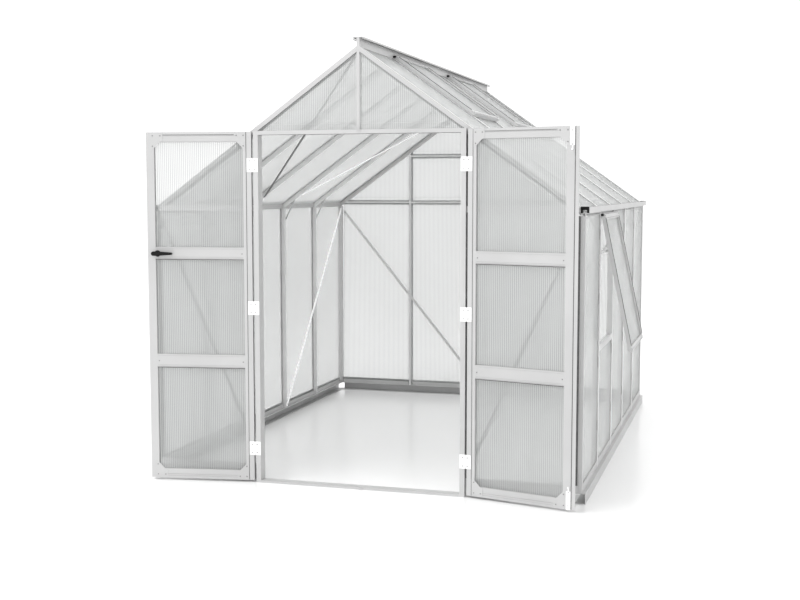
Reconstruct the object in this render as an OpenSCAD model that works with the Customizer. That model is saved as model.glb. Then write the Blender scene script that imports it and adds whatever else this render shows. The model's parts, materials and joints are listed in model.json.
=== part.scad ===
// Walk-in greenhouse with double swing doors. Millimetres.
// Origin: on the ground, at the middle of the front wall. X to the right, Y into the house, Z up.

/* [House] */
// Width over the side walls
house_w = 2500; // [2000:50:3100]
// Depth over the end walls
house_d = 3255; // [2600:50:4000]
// Bays along each side wall
side_bays = 5; // [4:1:6]
// Height of the roof's outer surface above the side walls
eave_h = 1565; // [1450:5:1900]
// Rise of the roof from the side walls to its peak
roof_rise = 895; // [700:5:1100]

/* [Base frame] */
// Height of the base frame
base_h = 60; // [45:1:90]
// How far the base frame stands out past the side and back walls
base_out = 20; // [8:1:30]
// Wall of the base frame's channel
base_t = 3; // [2:0.5:4]
// Radius of the ground anchor holes
anchor_r = 4.5; // [3:0.5:6]
// Ground anchor holes' distance from the front and back walls
anchor_y = 325; // [150:5:500]
// Ground anchor holes' distance from the side walls' outer faces
anchor_in = 12; // [8:1:20]

/* [Glazing bars] */
// Width of a bar's outer cap
cap_w = 35; // [28:1:45]
// Thickness of a bar's outer cap
cap_t = 4; // [3:0.5:5]
// Width of a bar's web
web_w = 12; // [8:1:16]
// Depth of a bar from its outer face
bar_depth = 36; // [30:1:45]
// Thickness of a twin-wall glazing panel
panel_t = 6; // [4:1:10]
// Gap between a panel's edge and the bar beside it
panel_gap = 0.5; // [0.3:0.1:1.5]
// Height of the bottom rails' outer lip
bottom_rail_h = 40; // [30:1:60]
// Width of the post at the middle of the front gable
king_w = 18; // [14:1:30]
// Depth of the rakes' front face below the roof surface
rake_face = 24; // [18:1:30]
// Width of the rakes' top over the end bays
rake_top_w = 42; // [36:1:60]

/* [Eaves and ridge] */
// Height of the eave beams' grip on the wall panels
eave_grip = 13; // [8:1:25]
// How far the gutters stand out past the side walls
gutter_out = 20; // [15:1:40]
// Depth of the gutters
gutter_h = 32; // [24:1:45]
// Wall of the eave beams
eave_t = 3; // [2:0.5:4]
// Thickness of the gutters' end caps
end_cap_t = 12; // [8:1:16]
// Half the thickness of the ridge beam's web
ridge_half = 8; // [5:1:12]
// Height of the ridge beam's top above the roof's peak
ridge_up = 44; // [36:1:60]
// Half the width of the ridge beam's top
ridge_top_half = 28; // [22:1:40]

/* [Doorway] */
// Width between the door jambs
doorway_w = 1170; // [950:10:1450]
// Width of a door jamb
jamb_w = 28; // [24:1:36]
// How far the jambs and the header stand out from the front wall
jamb_out = 26; // [22:1:32]
// Height of the header's underside
doorway_h = 1980; // [1800:5:2050]
// Height of the header
header_h = 22; // [18:1:40]
// Height of the door sill
sill_h = 12; // [8:1:16]

/* [Doors] */
// Gap between a closed leaf and the jambs
leaf_gap = 7; // [6:0.5:9]
// Thickness of a leaf
leaf_t = 25; // [22:1:30]
// Gap between the two closed leaves
meeting_gap = 4; // [3:0.5:6]
// Gap under the leaves
leaf_under = 12; // [12:1:18]
// How far the leaves reach up over the header
leaf_over = 18; // [8:1:24]
// Width of the stile on the hinge side
hinge_stile_w = 49; // [40:1:64]
// Width of the stile at the free edge
free_stile_w = 46; // [40:1:64]
// Height of the top and bottom rails
end_rail_h = 54; // [44:1:64]
// Height of the lower middle rail
low_rail_h = 79; // [60:1:90]
// Height of the upper middle rail
high_rail_h = 72; // [60:1:90]
// Height of the lower middle rail's underside
low_rail_z = 655; // [550:5:750]
// Height of the upper middle rail's underside
high_rail_z = 1276; // [1100:1:1350]
// Side of the corner plates
corner_plate = 98; // [85:1:120]
// Chamfer of the corner plates past the rails
corner_chamfer = 36; // [20:1:50]
// Thickness of the corner plates
corner_plate_t = 1.5; // [1:0.5:2]
// Angle of the left leaf from closed, as it stands
left_open = 170.7; // [95:0.1:176]
// Angle of the right leaf from closed, as it stands
right_open = 166.2; // [95:0.1:176]

/* [Door hardware] */
// Height of a hinge
hinge_h = 78; // [60:1:100]
// Width of a hinge plate from its pin
hinge_plate_w = 33; // [28:1:36]
// Thickness of a hinge plate
hinge_plate_t = 2.5; // [2:0.5:3]
// Distance from the jambs' opening edge to the hinge pins' line
pin_in = 5; // [5:0.5:7]
// Radius of a hinge pin
pin_r = 2; // [1.5:0.5:2.5]
// Radius of a hinge barrel
barrel_r = 4; // [3.5:0.5:4.5]
// Height of the lowest hinge's middle
hinge_low = 198; // [150:1:300]
// Height of the highest hinge's middle
hinge_high = 1812; // [1500:1:1850]
// Radial play of every hinge and pivot
pin_play = 0.05; // [0.02:0.01:0.1]
// Distance from the free edge to the handle's spindle
handle_in = 58; // [40:1:70]
// Radius of the handle's spindle
spindle_r = 4; // [3:0.5:5]
// Radius of the handle's roses
rose_r = 18; // [14:1:20]
// Length of the handle's lever from its spindle
lever_l = 84; // [60:1:120]
// Width of the cover strip past the right leaf's free edge
strip_w = 24; // [16:1:26]
// Length of a flush bolt's case
bolt_l = 98; // [70:1:130]
// Width of a flush bolt's case
bolt_w = 26; // [20:1:30]
// Travel of a flush bolt
bolt_travel = 15; // [8:1:20]

/* [Opening sashes] */
// Thickness of a sash
sash_t = 22; // [18:1:26]
// Face width of a sash's frame
sash_face = 28; // [22:1:34]
// How far a sash laps over the bars beside it
sash_lap = 10; // [6:1:16]
// Gap between a closed sash and the bars under it
sash_gap = 1.5; // [1:0.5:3]
// Length of a roof vent down the slope
vent_l = 595; // [450:5:700]
// Length of the side window's sash
window_l = 800; // [600:5:950]
// Distance from the side window's hinge line down from the eave beam
window_drop = 7; // [7:1:30]
// Angle of the side window from closed, as it stands
window_open = 12; // [0:1:40]
// Length of a roof vent's stay
vent_stay_l = 250; // [180:5:300]
// Length of the side window's stay
window_stay_l = 66; // [50:1:90]

/* [Bracing] */
// Width of a brace
brace_w = 20; // [14:1:28]
// Thickness of a brace
brace_t = 3; // [2:0.5:4]
// Side of the knee brackets under the rafters
knee = 88; // [60:1:110]
// Thickness of the knee brackets
knee_t = 2.5; // [2:0.5:4]

/* [Hidden] */
$fn = 32;
half_w = house_w / 2;
bay = house_d / side_bays;
slope = atan(roof_rise / half_w);
peak_z = eave_h + roof_rise;
// Height of the line parallel to the roof, p above its outer surface, at x from the middle
function roof_z(x, p) = peak_z - x * tan(slope) + p / cos(slope);

wall_in = half_w - bar_depth;           // inner faces of the side walls' bars
panel_in = cap_t + panel_t;             // inner face of a panel, from the bars' outer face
foot_z = base_h + panel_t;              // lower edge of the panels, on the bottom rails
eave_b = eave_h - 28;                   // underside of the eave beams
eave_in = wall_in + 12;                 // inner faces of the eave beams
panel_top = eave_b + eave_grip;
gutter_floor = eave_b + eave_grip + 2 * eave_t;
gutter_top = gutter_floor + gutter_h - eave_t;
lip_b = gutter_floor - eave_t - 6;      // lower edge of the eave beams' outer lip
roof_end = half_w - 5;                  // lower edge of the roof's caps and panels
ridge_foot = roof_z(ridge_half, -bar_depth);
touch = 0.3;                            // gap where sloping faces meet

jamb_x = doorway_w / 2;
pin_x = jamb_x + jamb_w + pin_in;
pin_y = jamb_out + leaf_gap / 2;        // hinge line, in front of the wall
header_z = doorway_h + header_h;
leaf_in = leaf_gap / 2;                 // inner face of a leaf, from the hinge line
leaf_x0 = 6;                            // hinge edge of a leaf, from the hinge line
leaf_x1 = pin_x - meeting_gap / 2;      // free edge of a leaf, from the hinge line
leaf_z0 = leaf_under;
leaf_z1 = doorway_h + leaf_over;
frame_groove = 8;                       // depth of the panels' seat in the leaves' rails
leaf_out = leaf_in + leaf_t;
leaf_mid = leaf_in + leaf_t / 2;
pane_x0 = leaf_x0 + hinge_stile_w;      // inner edges of a leaf's stiles
pane_x1 = leaf_x1 - free_stile_w;
seam_x = hinge_plate_w + 2;             // seam down the hinge stile, beside the hinge plates
seam = 2.5;
hinge_mid = (hinge_low + hinge_high) / 2;

handle_z = high_rail_z + high_rail_h / 2;
handle_x = leaf_x1 - handle_in;
rose_t = 6;
hub_r = 12.5;
tip_r = 7;                              // half the width of a lever's tip
hub_l = 22;
lever_t = 12;

strip_t = 2.3;                          // thickness of the strip over the gap between the leaves
bolt_case_t = leaf_gap - 1;
rod = [8, 3];                           // a bolt's rod, across and out from the leaf
rod_play = 0.3;
rod_slot = rod / 2 + [rod_play, rod_play];
rod_y = leaf_in - bolt_case_t / 2;
rod_x = leaf_x1 - bolt_w / 2;
knob_r = 4;
knob_l = 9;
keeper_half = 9;
keeper_wall = 3;

rail_z = eave_h + 5;                    // middle of the gables' rails at eave level
back_rail_z = doorway_h - cap_w;        // middle of the back wall's upper rail
king_half = king_w / 2;
brace_d = bar_depth + brace_t;

sash_r = sash_t / 2;
vent_bays = [1, 3];                     // bays of the right slope that hold a vent
window_bay = 1;                         // bay of the right wall that holds the window
vent_x = ridge_half + sash_r + 1.5;     // hinge lines of the vents
vent_p = sash_gap + sash_r;
vent_s = (vent_x - vent_p * sin(slope)) / cos(slope);
vent_z = roof_z(vent_x, vent_p);
window_x = half_w + sash_gap + sash_r;
window_z = eave_b - window_drop;
sash_w = bay + 2 * sash_lap;
cross_s = vent_s + vent_l - sash_face;  // middle of the bar under a vent's lower rail
sill_z = window_z - window_l + sash_face;
hinge_pin_l = 14;
bracket_t = 4;
stay_t = 4;
stay_w = 14;
stay_hole = 0.2;                        // spacing of a stay's holes, as a share of its length
ear_w = 12;                             // width of the ear that a stay turns on
ear_t = 4;
peg_r = 3;
stay_pin_z = -sash_r - 10;              // a stay's pin, in its sash's frame
vent_pin_u = vent_l - sash_face - cap_w / 2 - 11;
window_pin_u = 205;
window_pin_v = sash_face - frame_groove - sash_w / 2 + 24;
window_pin_x = window_x + window_pin_u * sin(window_open) + stay_pin_z * cos(window_open);
window_pin_z = window_z - window_pin_u * cos(window_open) + stay_pin_z * sin(window_open);
window_stay_dip = 23;                   // angle of the window's stay below level, as it stands

// ---- helpers ----
// A box from one corner to the other.
module box(a, b) { translate(a) cube(b - a); }

// The children, and their mirror image in the left half.
module both_sides() {
    children();
    mirror([1, 0, 0]) children();
}

// An outline in X and Z, drawn out from y0 to y1.
module along_y(y0, y1) { translate([0, y1, 0]) rotate([90, 0, 0]) linear_extrude(y1 - y0) children(); }

// An outline in Y and Z, drawn out from x0 to x1.
module along_x(x0, x1) { translate([x0, 0, 0]) rotate([90, 0, 90]) linear_extrude(x1 - x0) children(); }

// A strip parallel to the right slope between the heights pa and pb off it, cut upright at xa and xb.
module roof_strip(xa, xb, pa, pb, y0, y1) {
    along_y(y0, y1)
        polygon([[xa, roof_z(xa, pa)], [xb, roof_z(xb, pa)], [xb, roof_z(xb, pb)], [xa, roof_z(xa, pb)]]);
}

// All the space above the line p off the roof.
module above_roof(p, y0, y1) {
    x = half_w + 100;
    along_y(y0, y1)
        polygon([[0, roof_z(0, p)], [x, roof_z(x, p)], [x, peak_z + 100], [-x, peak_z + 100], [-x, roof_z(x, p)]]);
}

// The children in the right slope's own frame: X down the slope from the peak, Z off the roof.
module on_slope() { translate([0, 0, peak_z]) rotate([0, slope, 0]) children(); }

// The children as seen from the back wall.
module at_back() { translate([0, house_d, 0]) mirror([0, 1, 0]) children(); }

// An upright T-shaped post of the right wall, its outer cap centred on y.
module side_bar(y) {
    box([half_w - cap_t, y - cap_w / 2, base_h], [half_w, y + cap_w / 2, lip_b]);
    box([wall_in, y - web_w / 2, base_h], [half_w - cap_t, y + web_w / 2, eave_b]);
}

// ---- base frame ----
module base_section(x0, x1) {
    polygon([[x0, 0], [x1, 0], [x1, base_h], [x0, base_h], [x0, base_h - base_t],
        [x1 - base_t, base_h - base_t], [x1 - base_t, base_t], [x0, base_t]]);
}

module base_sides() {
    color("silver") both_sides() difference() {
        along_y(0, house_d + base_out) base_section(wall_in, half_w + base_out);
        for (y = [anchor_y, house_d - anchor_y])
            translate([half_w - anchor_in, y, -1]) cylinder(r = anchor_r, h = base_t + 2);
    }
}

module base_front() {
    color("silver") both_sides()
        along_x(jamb_x + jamb_w, wall_in) mirror([1, 0]) base_section(-bar_depth, 0);
}

module base_back() {
    color("silver") along_x(-wall_in, wall_in)
        translate([house_d, 0]) base_section(-bar_depth, base_out);
}

module door_sill() {
    color("gainsboro")
        box([-jamb_x, -jamb_out, 0], [jamb_x, bar_depth, sill_h]);
}

// ---- walls ----
module corner_posts() {
    groove = 3;
    color("gainsboro") both_sides() for (back = [false, true]) {
        y = back ? house_d - bar_depth : 0;
        difference() {
            union() {
                box([wall_in, y, base_h], [half_w, y + bar_depth, eave_b]);
                box([half_w - cap_t, y, eave_b], [half_w, y + bar_depth, lip_b]);
            }
            translate([half_w - 2, y + bar_depth / 2 - groove / 2, base_h - 1])
                cube([groove, groove, eave_b]);
            translate([half_w - bar_depth / 2 - groove / 2, back ? y + bar_depth - 2 : y - 1, base_h - 1])
                cube([groove, groove, eave_b]);
        }
    }
}

module side_posts() {
    for (k = [1 : side_bays - 1]) side_bar(k * bay);
}

module side_posts_left() { color("gainsboro") mirror([1, 0, 0]) side_posts(); }

module side_posts_right() { color("gainsboro") side_posts(); }

module door_jambs() {
    color("gainsboro") both_sides() difference() {
        box([jamb_x, -jamb_out, 0], [jamb_x + jamb_w, bar_depth, doorway_h]);
        above_roof(-bar_depth - touch, -touch, bar_depth + 1);
    }
}

module door_header() {
    x = jamb_x + jamb_w;
    color("white") difference() {
        box([-x, -jamb_out, doorway_h], [x, bar_depth, header_z]);
        above_roof(-bar_depth - touch, -touch, bar_depth + 1);
    }
}

module king_post() {
    color("gainsboro") difference() {
        box([-king_half, 0, header_z], [king_half, bar_depth, ridge_foot]);
        above_roof(-bar_depth - touch, -1, bar_depth + 1);
    }
}

module back_posts() {
    color("gainsboro") at_back() difference() {
        for (x = [-1, 0, 1] * house_w / 4) {
            box([x - cap_w / 2, 0, base_h], [x + cap_w / 2, cap_t, ridge_foot]);
            box([x - web_w / 2, cap_t, base_h], [x + web_w / 2, bar_depth, ridge_foot]);
        }
        above_roof(-bar_depth - touch, -1, bar_depth + 1);
    }
}

// A level T-shaped bar of an end wall between x0 and x1; its web stops c0 and c1 past its cap's ends.
module gable_bar(x0, x1, z, c0, c1) {
    box([x0, 0, z - cap_w / 2], [x1, cap_t, z + cap_w / 2]);
    box([x0 - c0, cap_t, z - web_w / 2], [x1 + c1, bar_depth, z + web_w / 2]);
}

// What the rakes leave free for the level bars of an end wall.
module clear_of_rakes() {
    difference() {
        children();
        above_roof(-rake_face - touch, -1, cap_t);
        above_roof(-bar_depth - touch, cap_t, bar_depth + 1);
    }
}

module gable_rails() {
    q = house_w / 4;
    step = (cap_w - web_w) / 2;
    color("gainsboro") {
        clear_of_rakes() both_sides() gable_bar(jamb_x + jamb_w, wall_in, rail_z, 0, 0);
        at_back() clear_of_rakes() both_sides() {
            gable_bar(cap_w / 2, q - cap_w / 2, rail_z, step, step);
            gable_bar(q + cap_w / 2, wall_in, rail_z, step, 0);
            gable_bar(cap_w / 2, q - cap_w / 2, back_rail_z, step, step);
        }
    }
}

// Outline of a bottom rail, d from the wall's outer face.
module bottom_rail_section() {
    lip = cap_t;
    inner_top = foot_z + bottom_rail_h / 2;
    polygon([[0, base_h], [panel_in + lip, base_h], [panel_in + lip, inner_top], [panel_in, inner_top],
        [panel_in, foot_z], [lip, foot_z], [lip, base_h + bottom_rail_h], [0, base_h + bottom_rail_h]]);
}

module bottom_rails() {
    q = house_w / 4;
    color("gainsboro") {
        both_sides() for (k = [0 : side_bays - 1]) {
            y0 = k == 0 ? bar_depth : k * bay + cap_w / 2;
            y1 = k == side_bays - 1 ? house_d - bar_depth : (k + 1) * bay - cap_w / 2;
            along_y(y0, y1) translate([half_w, 0]) mirror([1, 0]) bottom_rail_section();
        }
        both_sides() along_x(jamb_x + jamb_w, wall_in) bottom_rail_section();
        at_back() both_sides() {
            along_x(cap_w / 2, q - cap_w / 2) bottom_rail_section();
            along_x(q + cap_w / 2, wall_in) bottom_rail_section();
        }
    }
}

// ---- eaves, ridge and rafters ----
module eave_beams() {
    seat_z = roof_z(eave_in + eave_t, -panel_in) - touch;
    floor_b = gutter_floor - eave_t;
    color("gainsboro") both_sides() along_y(0, house_d) polygon([
        [eave_in, eave_b], [half_w - panel_in, eave_b], [half_w - panel_in, panel_top],
        [half_w - cap_t, panel_top], [half_w - cap_t, lip_b], [half_w, lip_b], [half_w, floor_b],
        [half_w + gutter_out, floor_b], [half_w + gutter_out, gutter_top],
        [half_w + gutter_out - eave_t, gutter_top], [half_w + gutter_out - eave_t, gutter_floor],
        [eave_in + eave_t, gutter_floor], [eave_in + eave_t, seat_z], [eave_in, seat_z]]);
}

// A black cap on each end of the gutters, with a notch under it for the water to leave.
module gutter_end_caps() {
    x0 = eave_in;
    x1 = half_w + gutter_out;
    leg = (x1 - x0) / 4;
    z0 = gutter_floor - eave_t;
    color("black") both_sides() for (y = [-end_cap_t, house_d]) difference() {
        box([x0, y, z0], [x1, y + end_cap_t, gutter_top + 2]);
        box([x0 + leg, y - 1, z0 - 1], [x1 - leg, y + end_cap_t + 1, z0 + gutter_h / 2]);
    }
}

module ridge_beam() {
    top = peak_z + ridge_up;
    lip = 3;
    color("gainsboro") along_y(0, house_d) {
        translate([-ridge_half, ridge_foot]) square([2 * ridge_half, top - ridge_foot]);
        translate([-ridge_top_half, top - lip]) square([2 * ridge_top_half, lip]);
        for (s = [-1, 1])
            translate([s * (ridge_top_half - lip / 2) - lip / 2, top - 3 * lip]) square([lip, 3 * lip]);
    }
}

// One sloping half of the front gable's edge.
module rake() {
    web_y = panel_in;
    roof_strip(ridge_half, roof_end, 0, -cap_t, 0, rake_top_w);
    roof_strip(ridge_half, eave_in, -cap_t, -rake_face, 0, cap_t);
    roof_strip(ridge_half, eave_in, -cap_t, -bar_depth, web_y, web_y + web_w);
}

module rakes() {
    color("white") both_sides() {
        rake();
        at_back() rake();
    }
}

module rafters() {
    for (k = [1 : side_bays - 1]) {
        roof_strip(ridge_half, roof_end, 0, -cap_t, k * bay - cap_w / 2, k * bay + cap_w / 2);
        roof_strip(ridge_half, eave_in, -cap_t, -bar_depth, k * bay - web_w / 2, k * bay + web_w / 2);
    }
}

module rafters_left() { color("gainsboro") mirror([1, 0, 0]) rafters(); }

module rafters_right() { color("gainsboro") rafters(); }

module vent_crossbars() {
    color("gainsboro") on_slope() for (k = vent_bays) {
        box([cross_s - cap_w / 2, k * bay + cap_w / 2, -cap_t],
            [cross_s + cap_w / 2, (k + 1) * bay - cap_w / 2, 0]);
        box([cross_s - web_w / 2, k * bay + web_w / 2, -bar_depth],
            [cross_s + web_w / 2, (k + 1) * bay - web_w / 2, -cap_t]);
    }
}

module window_sill_rail() {
    y0 = window_bay * bay;
    color("gainsboro") {
        box([half_w - cap_t, y0 + cap_w / 2, sill_z - cap_w / 2],
            [half_w, y0 + bay - cap_w / 2, sill_z + cap_w / 2]);
        box([wall_in, y0 + web_w / 2, sill_z - web_w / 2],
            [half_w - cap_t, y0 + bay - web_w / 2, sill_z + web_w / 2]);
    }
}

// ---- glazing ----
module side_panel(k, z1) {
    y0 = k == 0 ? bar_depth : k * bay + web_w / 2;
    y1 = k == side_bays - 1 ? house_d - bar_depth : (k + 1) * bay - web_w / 2;
    box([half_w - panel_in, y0 + panel_gap, foot_z], [half_w - cap_t, y1 - panel_gap, z1]);
}

module wall_panels_left() {
    color("lightgray") mirror([1, 0, 0]) for (k = [0 : side_bays - 1]) side_panel(k, panel_top);
}

module wall_panels_right() {
    color("lightgray") for (k = [0 : side_bays - 1])
        side_panel(k, k == window_bay ? sill_z - web_w / 2 : panel_top);
}

// A panel of the front gable, cut off under the roof.
module gable_panel(x0, x1, z0, z1) {
    difference() {
        box([x0 + panel_gap, cap_t, z0], [x1 - panel_gap, panel_in, z1]);
        above_roof(-cap_t - touch, 0, panel_in + 1);
    }
}

module front_gable_panels() {
    color("lightgray") both_sides() {
        gable_panel(jamb_x + jamb_w, wall_in, foot_z, rail_z - web_w / 2);
        gable_panel(jamb_x + jamb_w, eave_in, rail_z + web_w / 2, peak_z);
        gable_panel(max(king_half, ridge_half), jamb_x + jamb_w, header_z, peak_z);
    }
}

module back_gable_panels() {
    q = house_w / 4;
    w = web_w / 2;
    color("lightgray") at_back() both_sides() {
        for (x = [w, q + w]) gable_panel(x, x == w ? q - w : wall_in, foot_z, rail_z - w);
        gable_panel(q + w, eave_in, rail_z + w, peak_z);
        gable_panel(w, q - w, rail_z + w, back_rail_z - w);
        gable_panel(max(w, ridge_half), q - w, back_rail_z + w, peak_z);
    }
}

// A panel of the right slope's bay k, from the upright cut at x0 down to the eave.
module roof_panel(k, x0) {
    y0 = k == 0 ? panel_in + web_w : k * bay + web_w / 2;
    y1 = k == side_bays - 1 ? house_d - panel_in - web_w : (k + 1) * bay - web_w / 2;
    roof_strip(x0, roof_end, -cap_t, -panel_in, y0 + panel_gap, y1 - panel_gap);
}

module roof_panels_left() {
    color("lightgray") mirror([1, 0, 0])
        for (k = [0 : side_bays - 1]) roof_panel(k, ridge_half + panel_gap);
}

module roof_panels_right() {
    under_vent = (cross_s + web_w / 2) * cos(slope) - cap_t * sin(slope) + panel_gap;
    color("lightgray") for (k = [0 : side_bays - 1])
        roof_panel(k, len(search(k, vent_bays)) > 0 ? under_vent : ridge_half + panel_gap);
}

// ---- bracing and clips ----
// A flat bar between two points of a plane.
module strap(a, b) {
    d = b - a;
    translate(a) rotate(atan2(d[1], d[0])) translate([0, -brace_w / 2]) square([norm(d), brace_w]);
}

module wall_braces() {
    top = eave_b - brace_w;
    low = foot_z + brace_w / 2;
    third = (side_bays - 2) * bay;
    color("white") {
        both_sides() along_x(wall_in - brace_t, wall_in)
            strap([house_d - bar_depth - brace_w, top], [third, low]);
        both_sides() along_y(bar_depth, brace_d)
            strap([jamb_x + jamb_w / 2, foot_z + brace_w], [wall_in + brace_w / 2, top]);
        both_sides() along_y(house_d - brace_d, house_d - bar_depth)
            strap([wall_in - brace_w, top - brace_w], [brace_w, low]);
    }
}

// A flat bar of the left slope, under the rafters, between two distances down the slope.
module roof_brace(s0, y0, s1, y1) {
    mirror([1, 0, 0]) on_slope() translate([0, 0, -brace_d])
        linear_extrude(brace_t) strap([s0, y0], [s1, y1]);
}

module roof_braces() {
    high = 3 * brace_w;
    low = eave_in / cos(slope) - knee - 2 * brace_w;
    edge = panel_in + web_w;
    color("white") {
        roof_brace(high, edge, low, 2 * bay);
        roof_brace(high, house_d - edge, low, (side_bays - 2) * bay);
    }
}

// A plate in the corner between each post and its rafter, beside their webs.
module knee_brackets() {
    x0 = wall_in - knee;
    x1 = eave_in - touch;
    color("silver") both_sides() for (k = [1 : side_bays - 1]) {
        y = k * bay + web_w / 2;
        along_y(y, y + knee_t) polygon([[x1, eave_b - knee], [x1, roof_z(x1, -panel_in - 1)],
            [x0, roof_z(x0, -panel_in - 1)], [x0, roof_z(x0, -bar_depth - 6)],
            [wall_in - 6, eave_b - knee]]);
    }
}

// Spring clips on the outside of the side walls' panels, none in the window's opening.
module glazing_clips() {
    clip = [2, 5, 60];
    rows = 4;
    color("dimgray") for (left = [0, 1], k = [1 : side_bays - 1], j = [0 : rows - 1]) {
        z = base_h + (j + 0.6) * (eave_b - base_h) / rows;
        if (left == 1 || k != window_bay + 1 || z < sill_z - cap_w) mirror([left, 0, 0])
            translate([half_w - cap_t, k * bay - cap_w / 2 - clip[1], z]) cube(clip);
    }
}

// ---- sashes ----
// The children in a roof vent's frame: X down the sash from its hinge line, Z out of it.
module in_vent(k) { on_slope() translate([vent_s, (k + 0.5) * bay, vent_p]) children(); }

// The children in the side window's frame, as it stands.
module in_window() {
    translate([window_x, (window_bay + 0.5) * bay, window_z]) rotate([0, 90 - window_open, 0]) children();
}

// A top-hung frame of length l with a round top rail that takes the hinge pins.
module sash(l) {
    seat = sash_face - frame_groove;
    bore_l = hinge_pin_l + 2;
    difference() {
        union() {
            box([0, -sash_w / 2, -sash_r], [l, sash_w / 2, sash_r]);
            translate([0, sash_w / 2, 0]) rotate([90, 0, 0]) cylinder(r = sash_r, h = sash_w);
        }
        box([sash_face, sash_face - sash_w / 2, -sash_t], [l - sash_face, sash_w / 2 - sash_face, sash_t]);
        box([seat, seat - sash_w / 2, -sash_t], [l - seat, sash_w / 2 - seat, panel_t / 2]);
        for (s = [-1, 1]) translate([0, s * (sash_w - bore_l) / 2, 0])
            rotate([90, 0, 0]) cylinder(r = pin_r + 1 + pin_play, h = bore_l, center = true);
    }
}

module sash_panel(l) {
    e = sash_face - frame_groove + panel_gap;
    box([e, e - sash_w / 2, -panel_t / 2], [l - e, sash_w / 2 - e, panel_t / 2]);
}

// An ear with the pin that a stay turns on, at the origin; the ear's outer side is flush with y1.
module ear() {
    y0 = stay_t / 2 + touch;
    box([-ear_w / 2, y0, -ear_w / 2], [ear_w / 2, y0 + ear_t, -stay_pin_z - panel_t / 2 - 2]);
    translate([0, y0 + 1, 0]) rotate([90, 0, 0]) cylinder(r = pin_r, h = y0 + stay_t / 2 + 2);
}

module vent_sash() {
    y0 = stay_t / 2 + touch;
    sash(vent_l);
    translate([vent_pin_u, 0, stay_pin_z]) ear();
    box([vent_pin_u, y0, -sash_r], [vent_l - sash_face + frame_groove, y0 + ear_t, -panel_t / 2 - 2]);
}

module front_vent_sash() { color("gainsboro") in_vent(vent_bays[0]) vent_sash(); }

module rear_vent_sash() { color("gainsboro") in_vent(vent_bays[1]) vent_sash(); }

module window_sash() {
    v = window_pin_v - stay_t / 2 - touch;
    color("white") in_window() {
        sash(window_l);
        translate([window_pin_u, window_pin_v, stay_pin_z]) mirror([0, 1, 0]) ear();
        box([window_pin_u - ear_w / 2, sash_face - frame_groove - sash_w / 2, -sash_r],
            [window_pin_u + ear_w / 2, v, -panel_t / 2 - 2]);
    }
}

module front_vent_panel() { color("lightgray") in_vent(vent_bays[0]) sash_panel(vent_l); }

module rear_vent_panel() { color("lightgray") in_vent(vent_bays[1]) sash_panel(vent_l); }

module window_panel() { color("lightgray") in_window() sash_panel(window_l); }

// A plate with a hinge pin; the plate reaches to the upright face at x0.
module sash_hinge(x0, x, y, z, s) {
    r = sash_r - 5;
    plate_y = y + s * (sash_w / 2 + panel_gap + bracket_t / 2);
    translate([x0, plate_y - bracket_t / 2, z - r]) cube([x - x0, bracket_t, 2 * r]);
    translate([x, plate_y, z]) rotate([90, 0, 0]) cylinder(r = r, h = bracket_t, center = true);
    translate([x, plate_y - s * (hinge_pin_l + bracket_t) / 2, z])
        rotate([90, 0, 0]) cylinder(r = pin_r + 1, h = hinge_pin_l, center = true);
}

module sash_hinge_brackets() {
    color("dimgray") for (s = [-1, 1]) {
        for (k = vent_bays) sash_hinge(ridge_half, vent_x, (k + 0.5) * bay, vent_z, s);
        sash_hinge(half_w, window_x, (window_bay + 0.5) * bay, window_z, s);
    }
}

// A flat stay of length l that turns on a pin at the origin, with holes for a peg.
module stay(l) {
    difference() {
        union() {
            rotate([90, 0, 0]) cylinder(r = stay_w / 2, h = stay_t, center = true);
            box([0, -stay_t / 2, -stay_w / 2], [l, stay_t / 2, stay_w / 2]);
        }
        rotate([90, 0, 0]) cylinder(r = pin_r + pin_play, h = 2 * stay_t, center = true);
        for (j = [1 : 3]) translate([l * (1 - stay_hole * j), 0, 0])
            rotate([90, 0, 0]) cylinder(r = peg_r + 0.5, h = 2 * stay_t, center = true);
    }
}

module vent_stay(k) {
    in_vent(k) translate([vent_pin_u, 0, stay_pin_z]) rotate([0, 180, 0]) stay(vent_stay_l);
}

module front_vent_stay() { color("black") vent_stay(vent_bays[0]); }

module rear_vent_stay() { color("black") vent_stay(vent_bays[1]); }

module window_stay() {
    color("white") translate([window_pin_x, (window_bay + 0.5) * bay + window_pin_v, window_pin_z])
        rotate([0, 180 - window_stay_dip, 0]) stay(window_stay_l);
}

// The pegs that hold the stays: one on each vent's crossbar, one on the post beside the window.
module stay_pegs() {
    side = stay_t / 2 + 1;
    reach = window_stay_l * (1 - stay_hole);
    post_y = window_bay * bay + web_w / 2;
    arm_y = (window_bay + 0.5) * bay + window_pin_v - side;
    color("dimgray") {
        on_slope() for (k = vent_bays) translate([cross_s - web_w / 2, (k + 0.5) * bay, 4 - bar_depth]) {
            box([-2 * peg_r, side + 10, -peg_r], [0, side + 13, peg_r]);
            translate([-1.5 * peg_r, side + 10, 0]) rotate([90, 0, 0]) cylinder(r = peg_r, h = 10);
        }
        translate([window_pin_x - reach * cos(window_stay_dip), arm_y,
            window_pin_z - reach * sin(window_stay_dip)])
            rotate([90, 0, 0]) cylinder(r = peg_r, h = arm_y - post_y);
    }
}

// ---- door leaves ----
// The children in a leaf's frame, as it stands open: X from the hinge line to the free edge, Y to
// the leaf's outer face, Z up.
module in_leaf(open) { translate([pin_x, -pin_y, 0]) rotate([0, 0, open - 180]) children(); }

module in_left_leaf() { mirror([1, 0, 0]) in_leaf(left_open) children(); }

module in_right_leaf() { in_leaf(right_open) children(); }

// A slot for the panels' edges.
module pane_slot(a, b) { box([a[0], leaf_mid - panel_t / 2, a[1]], [b[0], leaf_mid + panel_t / 2, b[1]]); }

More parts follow.
